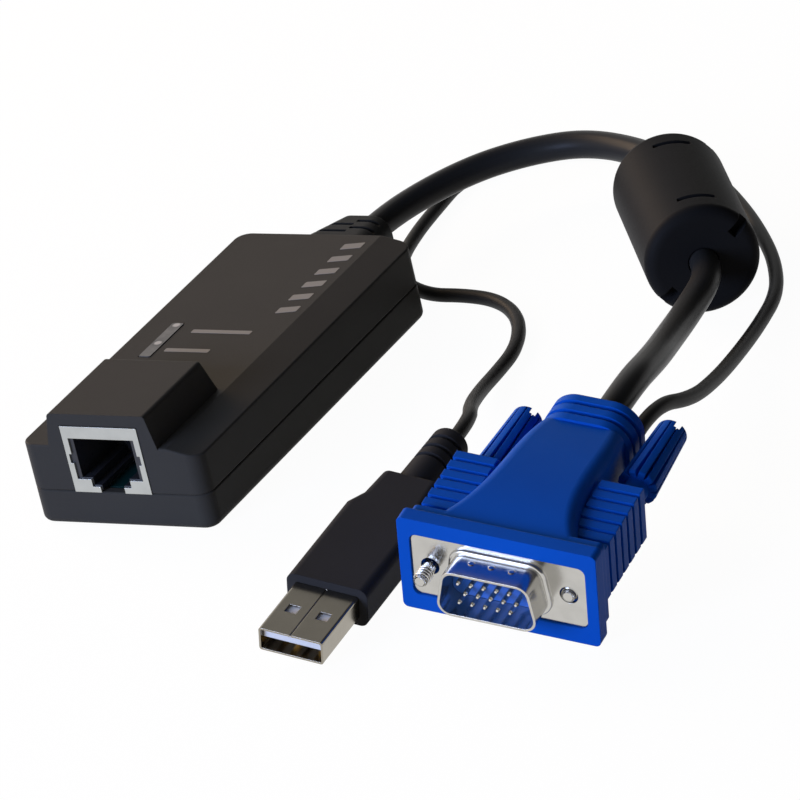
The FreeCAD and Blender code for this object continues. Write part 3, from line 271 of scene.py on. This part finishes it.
def lay_cord(name, route, radius):
    """A round sleeve along a smooth spline: a unit bevel, scaled by the radius that each point carries."""
    line = bpy.data.curves.new(name, "CURVE")
    line.dimensions = "3D"
    line.bevel_depth = UNIT_BEVEL
    line.bevel_resolution = BEVEL_STEPS
    line.resolution_u = SPAN_STEPS
    spline = line.splines.new("NURBS")
    spline.points.add(len(route) - 1)
    for point, spot in zip(spline.points, route):
        point.co = (*[number * MM for number in spot], 1.0)
        point.radius = radius
    spline.order_u = SPLINE_ORDER
    spline.use_endpoint_u = True
    cord = bpy.data.objects.new(name, line)
    bpy.context.scene.collection.objects.link(cord)
    return cord


cable = lay_cord("video_cable_sleeve", CABLE_ROUTE, CABLE_RADIUS)
cord = lay_cord("usb_cord_sleeve", CORD_ROUTE, CORD_RADIUS)
for piece, node in ((cable, "video_cable"), (cord, "usb_cord")):
    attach(piece, "dongle")
    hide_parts(node)
print("cords", cable.name, cord.name)

# %% [markdown]
# Helpers for shaping a piece by hand. An operator acts on all that is selected, so a piece is opened for
# editing with nothing selected in it, and its faces are then picked by their normals.

# %% Editing helpers


def edit(piece):
    """Makes one piece the active one and opens it for editing, with nothing selected in it."""
    bpy.ops.object.select_all(action="DESELECT")
    piece.select_set(True)
    bpy.context.view_layer.objects.active = piece
    bpy.ops.object.mode_set(mode="EDIT")
    bpy.ops.mesh.select_all(action="DESELECT")


def pick_faces(piece, test):
    """Selects the faces whose normal passes the test."""
    bpy.ops.object.mode_set(mode="OBJECT")
    for face in piece.data.polygons:
        face.select = test(face.normal)
    bpy.ops.object.mode_set(mode="EDIT")


def join_pieces(pieces):
    """Joins pieces into the first of them."""
    bpy.ops.object.select_all(action="DESELECT")
    for piece in pieces:
        piece.select_set(True)
    bpy.context.view_layer.objects.active = pieces[0]
    bpy.ops.object.join()


print("editing helpers", edit.__name__, pick_faces.__name__, join_pieces.__name__)

# %% [markdown]
# The thumb screws' rods are rolled steel with a fine thread, 40 turns to the inch. A bump could draw the
# thread, but the tip stands out against the plate and shows its teeth. So a small triangle is screwed along
# a core: the Screw modifier turns and lifts it, one pitch for each turn.

# %% Rod and thread
THREAD_PITCH = 0.635 * MM
THREAD_CREST = 1.42 * MM
THREAD_ROOT = 1.08 * MM
THREAD_LENGTH = 4.4 * MM
SHANK_RADIUS = 1.2 * MM
ROD_LENGTH = 40.8 * MM
TIP_BEVEL = 0.3 * MM
TIP_SEGMENTS = 2
END_NORMAL = 0.9
RIDGE_CORNERS = 3
LARGEST_HOLE = 4
WELD = MM / 1000
ROUND_STEPS = 32


def turn_rod():
    """A plain rod along z with its tip at the origin: a bevelled core under the thread, then the shank."""
    bpy.ops.mesh.primitive_cylinder_add(vertices=ROUND_STEPS, radius=THREAD_ROOT, depth=THREAD_LENGTH,
                                        location=(0, 0, THREAD_LENGTH / 2))
    rod = bpy.context.object
    bpy.ops.object.transform_apply(location=True)
    edit(rod)
    bpy.ops.mesh.select_mode(type="FACE")
    pick_faces(rod, lambda normal: normal.z < -END_NORMAL)
    bpy.ops.mesh.bevel(offset=TIP_BEVEL, segments=TIP_SEGMENTS, affect="EDGES")
    pick_faces(rod, lambda normal: normal.z > END_NORMAL)
    bpy.ops.mesh.extrude_region()
    wider = SHANK_RADIUS / THREAD_ROOT
    bpy.ops.transform.resize(value=(wider, wider, 1.0))
    bpy.ops.mesh.extrude_region()
    bpy.ops.transform.translate(value=(0, 0, ROD_LENGTH - THREAD_LENGTH))
    bpy.ops.object.mode_set(mode="OBJECT")
    return rod


def cut_thread():
    """A ridge of triangular section wound round the core, closed at both ends."""
    bpy.ops.mesh.primitive_circle_add(vertices=RIDGE_CORNERS, radius=THREAD_PITCH / 2,
                                      rotation=(math.pi / 2, 0, 0))
    ridge = bpy.context.object
    bpy.ops.object.transform_apply(rotation=True)
    edit(ridge)
    bpy.ops.mesh.select_all(action="SELECT")
    bpy.ops.transform.rotate(value=-math.pi / 2, orient_axis="Y", center_override=(0, 0, 0))
    bpy.ops.transform.translate(value=(THREAD_CREST - THREAD_PITCH / 2, 0, TIP_BEVEL + THREAD_PITCH / 2))
    bpy.ops.object.mode_set(mode="OBJECT")
    winding = ridge.modifiers.new("winding", "SCREW")
    winding.axis = "Z"
    winding.screw_offset = THREAD_PITCH
    winding.iterations = int((THREAD_LENGTH - 2 * TIP_BEVEL) / THREAD_PITCH) - 1
    winding.steps = ROUND_STEPS
    winding.render_steps = ROUND_STEPS
    winding.use_merge_vertices = False
    bpy.ops.object.modifier_apply(modifier=winding.name)
    edit(ridge)
    bpy.ops.mesh.select_all(action="SELECT")
    bpy.ops.mesh.remove_doubles(threshold=WELD)
    bpy.ops.mesh.fill_holes(sides=LARGEST_HOLE)
    bpy.ops.mesh.normals_make_consistent(inside=False)
    bpy.ops.object.mode_set(mode="OBJECT")
    print("ridge", len(ridge.data.polygons), "faces")
    return ridge


print("thread", round(THREAD_PITCH / MM, 3), "mm to a turn")

# %% [markdown]
# Each screw is a rod and a ridge joined, modelled along z and then laid on its joint's axis, so that it
# turns about its own middle in every pose. Modelling it in its place would need every size turned first.
# The right screw is drawn back, as loose captive screws often are.

# %% Threaded rods
TIP_BACK = -4.9 * MM
SCREW_SHIFT = {"left": 0.0, "right": 4.0 * MM}
SHARP_EDGE = math.radians(35)

rods = {}
joints = {joint["name"]: joint for joint in frame["joints"]}
for hand, shift in SCREW_SHIFT.items():
    rod = turn_rod()
    join_pieces([rod, cut_thread()])
    bpy.ops.object.shade_smooth_by_angle(angle=SHARP_EDGE)
    joint = joints[hand + "_screw_turn"]
    along = Vector(joint["axis"])
    rod.rotation_euler = along.to_track_quat("Z", "Y").to_euler()
    rod.location = Vector(joint["pos_m"]) + along * (TIP_BACK + shift)
    bpy.ops.object.transform_apply(location=True, rotation=True)
    rod.name = hand + "_threaded_rod"
    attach(rod, hand + "_thumb_screw")
    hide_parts(hand + "_screw_rod")
    rods[hand] = rod

# %% [markdown]
# A cord has facts of its own besides its shape: where it leaves the object, how long and how thick it is,
# what is on its far end, how stiff it is and which pieces hang on it. This script does not declare them.

# %% [markdown]
# Pad-printed marks on the deck: a short bar beside each lamp of the light strip, and a row of slanted bars
# along the right edge. Ink could be a pattern in the housing's material, but as pieces of their own the
# marks stay sharp and would stay in the meshes if they were exported. Each bar is a plane that is slanted,
# rounded at its corners and given the thickness of a film of ink.

# %% Printed bar
DECK_HEIGHT = 16.2 * MM
INK_THICK = 0.04 * MM
INK_ROUND = 0.25 * MM
INK_SEGMENTS = 3


def print_bar(left, right, front, back, slant=0.0):
    """One bar of ink on the deck, in millimetres, its right end moved back by the slant."""
    middle = ((left + right) / 2 * MM, (front + back) / 2 * MM, DECK_HEIGHT)
    bpy.ops.mesh.primitive_plane_add(size=1.0, location=middle)
    bar = bpy.context.object
    bar.scale = ((right - left) * MM, (back - front) * MM, 1.0)
    bpy.ops.object.transform_apply(location=True, scale=True)
    edit(bar)
    bpy.ops.mesh.select_mode(type="VERT")
    bpy.ops.object.mode_set(mode="OBJECT")
    for vertex in bar.data.vertices:
        vertex.select = vertex.co.x > middle[0]
    bpy.ops.object.mode_set(mode="EDIT")
    bpy.ops.transform.translate(value=(0, slant * MM, 0))
    bpy.ops.mesh.select_all(action="SELECT")
    bpy.ops.mesh.bevel(offset=INK_ROUND, segments=INK_SEGMENTS, affect="VERTICES")
    bpy.ops.mesh.select_all(action="SELECT")
    bpy.ops.mesh.extrude_region_move(TRANSFORM_OT_translate={"value": (0, 0, INK_THICK)})
    bpy.ops.mesh.select_all(action="SELECT")
    bpy.ops.mesh.normals_make_consistent(inside=False)
    bpy.ops.object.mode_set(mode="OBJECT")
    return bar


print("ink", INK_THICK / MM, "mm thick")

# %% [markdown]
# The bars stand in two groups, which are joined into two marks: those beside the lamps, and the row. An
# array of one bar could make the row too, but a loop with a pitch is as short and reads more plainly.

# %% Printed marks
LAMP_BARS = [
    dict(left=-7.0, right=5.6, front=1.6, back=2.9),
    dict(left=-8.6, right=0.8, front=-5.9, back=-4.6),
]
ROW_COUNT = 6
ROW_FRONT, ROW_BACK = 10.0, 39.0
ROW_LEFT, ROW_RIGHT = 6.4, 10.4
ROW_BAR = 2.2
ROW_SLANT = 0.9
ROW_PITCH = (ROW_BACK - ROW_FRONT - ROW_BAR - ROW_SLANT) / (ROW_COUNT - 1)


def gather(bars, name):
    """Joins bars into one printed mark."""
    join_pieces(bars)
    bars[0].name = name
    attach(bars[0], "dongle")
    return bars[0]


row_bars = []
for i in range(ROW_COUNT):
    start = ROW_FRONT + i * ROW_PITCH
    row_bars.append(print_bar(ROW_LEFT, ROW_RIGHT, start, start + ROW_BAR, ROW_SLANT))
lamp_bars = [print_bar(**sides) for sides in LAMP_BARS]
marks = [gather(lamp_bars, "lamp_marks"), gather(row_bars, "row_mark")]
print("printed marks", [len(mark.data.polygons) for mark in marks])

# %% [markdown]
# Moulded plastics. All of them are one recipe with other numbers: two near colours in soft clouds, as the
# pigment is never quite even, a fine grain from the tool's surface that breaks up the shine, and edges that
# the tool leaves slightly round. A bevel in the mesh could round the edges, but the solids aren't changed
# here, so the shader bends the light at the edges instead. Each grain is drawn a little coarser than the
# real one, so that it shows.

# %% Recipe for moulded plastic
CLOUD = 14 * MM
CLOUD_DETAIL = 3.0
GRAIN_DETAIL = 2.0
SHINE_SPREAD = 0.07
PLASTIC_IOR = 1.53
EDGE_SAMPLES = 6


def moulded(name, dark, pale, roughness, gloss, grain, depth, edge):
    """A moulded plastic: its two colours, shine, grain size and depth, and the radius of its edges."""
    finish, tree = new_finish(name)
    place = add(tree, "ShaderNodeTexCoord").outputs["Object"]
    cloud = add(tree, "ShaderNodeTexNoise", {"Vector": place, "Scale": 1 / CLOUD, "Detail": CLOUD_DETAIL})
    tint = add(tree, "ShaderNodeMix", {
        "Factor": cloud.outputs["Fac"], "A": linear(dark), "B": linear(pale)}, data_type="RGBA")
    pits = add(tree, "ShaderNodeTexNoise", {"Vector": place, "Scale": 1 / grain, "Detail": GRAIN_DETAIL})
    shine = add(tree, "ShaderNodeMapRange", {
        "Value": pits.outputs["Fac"], "To Min": roughness - SHINE_SPREAD,
        "To Max": roughness + SHINE_SPREAD})
    soft_edge = add(tree, "ShaderNodeBevel", {"Radius": edge}, samples=EDGE_SAMPLES)
    relief = add(tree, "ShaderNodeBump", {
        "Height": pits.outputs["Fac"], "Distance": depth, "Normal": soft_edge.outputs[0]})
    shader = add(tree, "ShaderNodeBsdfPrincipled", {
        "Base Color": tint.outputs["Result"], "Roughness": shine.outputs[0], "IOR": PLASTIC_IOR,
        "Specular IOR Level": gloss, "Normal": relief.outputs[0]})
    add(tree, "ShaderNodeOutputMaterial", {"Surface": shader.outputs[0]})
    return finish


print("plastic with clouds of", round(CLOUD / MM), "mm")

# %% [markdown]
# The plastics that show. The housing is ABS from a tool with an eroded surface. The boot, the ferrite's
# cover, the USB grip and the video plug's hood are soft PVC, moulded round the cords. One black for all of
# them would be simpler, but each has its own shade and shine in the picture.

# %% Housing and over-moulds
# Spark-eroded ABS: an even fine grain that turns black into soft dark grey.
housing_abs = moulded("spark_eroded_abs", dark="3f3d39", pale="46443f", roughness=0.5, gloss=0.04,
                      grain=0.22 * MM, depth=0.02 * MM, edge=0.25 * MM)
wear(housing_abs, "top_cover", "bottom_shell")
# Satin PVC of the boot, the ferrite's cover and the USB grip: smoother and blacker than the housing.
PVC_SKIN = dict(roughness=0.5, grain=0.4 * MM, depth=0.015 * MM)
boot_pvc = moulded("satin_boot_pvc", dark="222221", pale="292928", gloss=0.06, edge=0.3 * MM, **PVC_SKIN)
wear(boot_pvc, "cable_boot")
ferrite_pvc = moulded("satin_ferrite_pvc", dark="1c1c1d", pale="232323", gloss=0.02, edge=0.3 * MM,
                      **PVC_SKIN)
wear(ferrite_pvc, "ferrite_case")
grip_pvc = moulded("satin_grip_pvc", dark="363535", pale="3d3c3c", gloss=0.02, edge=0.3 * MM, **PVC_SKIN)
wear(grip_pvc, "usb_overmould")
# Blue PVC of the video plug: a strong even pigment with little shine.
plug_pvc = moulded("satin_blue_pvc", dark="0855be", pale="0a5fcc", gloss=0.05, edge=0.25 * MM, **PVC_SKIN)
wear(plug_pvc, "vga_hood", "left_screw_grip", "right_screw_grip")

# %% [markdown]
# The plastics in the openings and inside. Nylon holds the contacts, since it stays stiff when they are
# soldered. What the closed housing hides gets a finish too, because the model can be opened once it is
# exported.

# %% Inserts and inner pieces
NYLON_SKIN = dict(grain=0.4 * MM, depth=0.01 * MM, edge=0.1 * MM)
# Nylon: the pin block, the socket's insert and the USB tongue are smooth and a little glossy.
block_nylon = moulded("blue_nylon", dark="2f6fd8", pale="3d80e6", roughness=0.3, gloss=0.3, **NYLON_SKIN)
wear(block_nylon, "vga_insulator")
insert_nylon = moulded("black_nylon", dark="28292e", pale="313236", roughness=0.3, gloss=0.4, **NYLON_SKIN)
wear(insert_nylon, "jack_insert")
tongue_nylon = moulded("white_nylon", dark="ececea", pale="f6f6f4", roughness=0.4, gloss=0.3, **NYLON_SKIN)
wear(tongue_nylon, "usb_tongue", "status_leds")
# Solder mask: a dark green lacquer over the board's weave.
board_mask = moulded("green_solder_mask", dark="0a2a2a", pale="0d3434", roughness=0.35, gloss=0.2,
                     grain=0.6 * MM, depth=0.01 * MM, edge=0.1 * MM)
wear(board_mask, "circuit_board")
# Epoxy of the chips: black and dull from its filler.
chip_epoxy = moulded("chip_epoxy", dark="17171a", pale="1e1e20", roughness=0.6, gloss=0.3,
                     grain=0.2 * MM, depth=0.02 * MM, edge=0.1 * MM)
wear(chip_epoxy, "video_chip", "control_chip")
# Sintered ferrite: a dull dark grey ceramic with visible pores.
ferrite_ceramic = moulded("sintered_ferrite", dark="2e2e30", pale="3a3a3c", roughness=0.7, gloss=0.3,
                          grain=0.15 * MM, depth=0.03 * MM, edge=0.1 * MM)
wear(ferrite_ceramic, "ferrite_core")
# Matt ink: pale grey, thin enough for the housing's grain to show through.
ink = moulded("pale_grey_ink", dark="8d8b86", pale="9b9993", roughness=0.6, gloss=0.2,
              grain=0.22 * MM, depth=0.02 * MM, edge=0.02 * MM)
for mark in marks:
    mark.data.materials.append(ink)
    print(ink.name, "on", mark.name)

# %% [markdown]
# The cords' sleeves are extruded PVC, drawn out of a round die. That gives a skin with faint lines along
# the cord and a softer shine than the moulded pieces. The lines follow the cord, so they are drawn on the
# curve's own UV map, which runs along it and round it.

# %% Extruded sleeves
SLEEVE_LINES = 40.0
SLEEVE_LENGTHS = 3.0


def extruded(name, dark, pale, roughness, gloss, depth):
    """An extruded sleeve: faint lines along the cord in its colour, shine and relief."""
    finish, tree = new_finish(name)
    place = add(tree, "ShaderNodeTexCoord").outputs["UV"]
    along = add(tree, "ShaderNodeMapping", {"Vector": place, "Scale": (SLEEVE_LENGTHS, SLEEVE_LINES, 1.0)})
    lines = add(tree, "ShaderNodeTexNoise", {
        "Vector": along.outputs[0], "Scale": 1.0, "Detail": GRAIN_DETAIL})
    tint = add(tree, "ShaderNodeMix", {
        "Factor": lines.outputs["Fac"], "A": linear(dark), "B": linear(pale)}, data_type="RGBA")
    shine = add(tree, "ShaderNodeMapRange", {
        "Value": lines.outputs["Fac"], "To Min": roughness - SHINE_SPREAD,
        "To Max": roughness + SHINE_SPREAD})
    relief = add(tree, "ShaderNodeBump", {"Height": lines.outputs["Fac"], "Distance": depth})
    shader = add(tree, "ShaderNodeBsdfPrincipled", {
        "Base Color": tint.outputs["Result"], "Roughness": shine.outputs[0], "IOR": PLASTIC_IOR,
        "Specular IOR Level": gloss, "Normal": relief.outputs[0]})
    add(tree, "ShaderNodeOutputMaterial", {"Surface": shader.outputs[0]})
    return finish


# The thick sleeve is a little smoother than the thin one, so its shine is narrower.
cable_pvc = extruded("black_cable_pvc", dark="282828", pale="30302f", roughness=0.37, gloss=0.07,
                     depth=0.01 * MM)
cable.data.materials.append(cable_pvc)
cord_pvc = extruded("black_cord_pvc", dark="242423", pale="2d2d2c", roughness=0.48, gloss=0.1,
                    depth=0.008 * MM)
cord.data.materials.append(cord_pvc)
print("sleeves", cable.data.materials[0].name, cord.data.materials[0].name)

# %% [markdown]
# The light strip is milky acrylic over two lamps. Unlit, it looks grey, with a paler spot where each lamp
# sits and a darker ring round the spot. Real layers under a clear window would do the same, but the strip
# is thin and frosted, so the spots are drawn by their distance from two points on the strip.

# %% Milky acrylic
STRIP_X = -11.4 * MM
SPOTS_Y = (4.2 * MM, -2.9 * MM)
SPOT_RADIUS = 0.9 * MM
SPOT_CORE = 0.6 * SPOT_RADIUS
RING_RADIUS = 2.4 * MM
FROST = 1.2 * MM
FROST_DARK, FROST_PALE = "4a4844", "77746e"
RING_GREY = "4e4c48"
SPOT_PALE = "bfbdb6"
ACRYLIC_ROUGHNESS = 0.3
ACRYLIC_IOR = 1.49
ACRYLIC_GLOSS = 0.3

acrylic, tree = new_finish("milky_acrylic")
place = add(tree, "ShaderNodeTexCoord").outputs["Object"]
gaps = []
for spot_y in SPOTS_Y:
    spot = (STRIP_X, spot_y, DECK_HEIGHT)
    gap = add(tree, "ShaderNodeVectorMath", {0: place, 1: spot}, operation="DISTANCE")
    gaps.append(gap.outputs["Value"])
nearest = add(tree, "ShaderNodeMath", {0: gaps[0], 1: gaps[1]}, operation="MINIMUM").outputs[0]
frost = add(tree, "ShaderNodeTexNoise", {"Vector": place, "Scale": 1 / FROST, "Detail": GRAIN_DETAIL})
ring = add(tree, "ShaderNodeMapRange", {
    "Value": nearest, "From Min": SPOT_RADIUS, "From Max": RING_RADIUS, "To Min": 0.0, "To Max": 1.0})
base = add(tree, "ShaderNodeMix", {
    "Factor": frost.outputs["Fac"], "A": linear(FROST_DARK), "B": linear(FROST_PALE)}, data_type="RGBA")
halo = add(tree, "ShaderNodeMix", {
    "Factor": ring.outputs[0], "A": linear(RING_GREY), "B": base.outputs["Result"]}, data_type="RGBA")
core = add(tree, "ShaderNodeMapRange", {
    "Value": nearest, "From Min": SPOT_CORE, "From Max": SPOT_RADIUS, "To Min": 0.0, "To Max": 1.0})
colour = add(tree, "ShaderNodeMix", {
    "Factor": core.outputs[0], "A": linear(SPOT_PALE), "B": halo.outputs["Result"]}, data_type="RGBA")
shader = add(tree, "ShaderNodeBsdfPrincipled", {
    "Base Color": colour.outputs["Result"], "Roughness": ACRYLIC_ROUGHNESS, "IOR": ACRYLIC_IOR,
    "Specular IOR Level": ACRYLIC_GLOSS})
add(tree, "ShaderNodeOutputMaterial", {"Surface": shader.outputs[0]})
wear(acrylic, "light_pipe")

# %% [markdown]
# Plated metal: tin on the socket's shield, nickel on both plugs and the screws, gold on the contacts.
# Rolled and stamped sheet has a faint grain along the sheet and small dull patches, so its reflections are
# soft and uneven. A plain noise would make even blotches, so the grain is a noise that is drawn out along
# the sheet.

# %% Recipe for plated metal
PATCH = 3.0 * MM
PATCH_DETAIL = 4.0
BRUSH_LONG, BRUSH_FINE = 6.0 * MM, 0.25 * MM


def plated(name, dark, pale, roughness, scratch, edge, spread=0.05):
    """A plated metal: its colours, its shine and how uneven that is, its scratches and its edges."""
    finish, tree = new_finish(name)
    place = add(tree, "ShaderNodeTexCoord").outputs["Object"]
    patch = add(tree, "ShaderNodeTexNoise", {"Vector": place, "Scale": 1 / PATCH, "Detail": PATCH_DETAIL})
    drawn = add(tree, "ShaderNodeMapping", {
        "Vector": place, "Scale": (1 / BRUSH_FINE, 1 / BRUSH_LONG, 1 / BRUSH_FINE)})
    brush = add(tree, "ShaderNodeTexNoise", {
        "Vector": drawn.outputs[0], "Scale": 1.0, "Detail": GRAIN_DETAIL})
    tint = add(tree, "ShaderNodeMix", {
        "Factor": patch.outputs["Fac"], "A": linear(dark), "B": linear(pale)}, data_type="RGBA")
    dull = add(tree, "ShaderNodeMapRange", {
        "Value": brush.outputs["Fac"], "To Min": roughness - spread, "To Max": roughness + spread})
    soft_edge = add(tree, "ShaderNodeBevel", {"Radius": edge}, samples=EDGE_SAMPLES)
    relief = add(tree, "ShaderNodeBump", {
        "Height": brush.outputs["Fac"], "Distance": scratch, "Normal": soft_edge.outputs[0]})
    shader = add(tree, "ShaderNodeBsdfPrincipled", {
        "Base Color": tint.outputs["Result"], "Metallic": 1.0, "Roughness": dull.outputs[0],
        "Normal": relief.outputs[0]})
    add(tree, "ShaderNodeOutputMaterial", {"Surface": shader.outputs[0]})
    return finish


print("sheet with patches of", round(PATCH / MM), "mm")

# %% [markdown]
# The metals differ in colour and in how clear their reflections are. Hot-dipped tin is soft, nickel from a
# bath is clear, and the small contacts only need the right colour. One steel for all would look like one
# casting.

# %% Plated metals
# Hot-dipped tin: pale and soft, with hardly a reflection.
shield_tin = plated("dipped_tin_plate", dark="a9aaa6", pale="bdbeb9", roughness=0.42, spread=0.06,
                    scratch=0.002 * MM, edge=0.1 * MM)
wear(shield_tin, "jack_shield")
# Bright nickel on deep-drawn steel: clear reflections with a warm grey cast.
face_nickel = plated("bright_nickel_plate", dark="b5b3ae", pale="cac8c3", roughness=0.2,
                     scratch=0.001 * MM, edge=0.12 * MM)
wear(face_nickel, "vga_shell", "case_screws")
for rod in rods.values():
    rod.data.materials.append(face_nickel)
# Thin nickel on the folded USB shell, where the brass below tints it brown.
usb_nickel = plated("brown_nickel_plate", dark="938d81", pale="a09a8e", roughness=0.22,
                    scratch=0.001 * MM, edge=0.12 * MM)
wear(usb_nickel, "usb_shell")
# Silvered pins: pale and bright, with no grain, because they are turned.
pin_silver = plated("silvered_brass", dark="c9c6bd", pale="dedbd2", roughness=0.2, scratch=0.0,
                    edge=0.05 * MM)
wear(pin_silver, "vga_pins")
# Gold flash on the springs: a thin warm yellow.
contact_gold = plated("gold_flash", dark="c79a4a", pale="e0b968", roughness=0.25, scratch=0.0,
                      edge=0.05 * MM)
wear(contact_gold, "jack_contacts", "usb_contacts")

# %% Update the scene
bpy.context.view_layer.update()
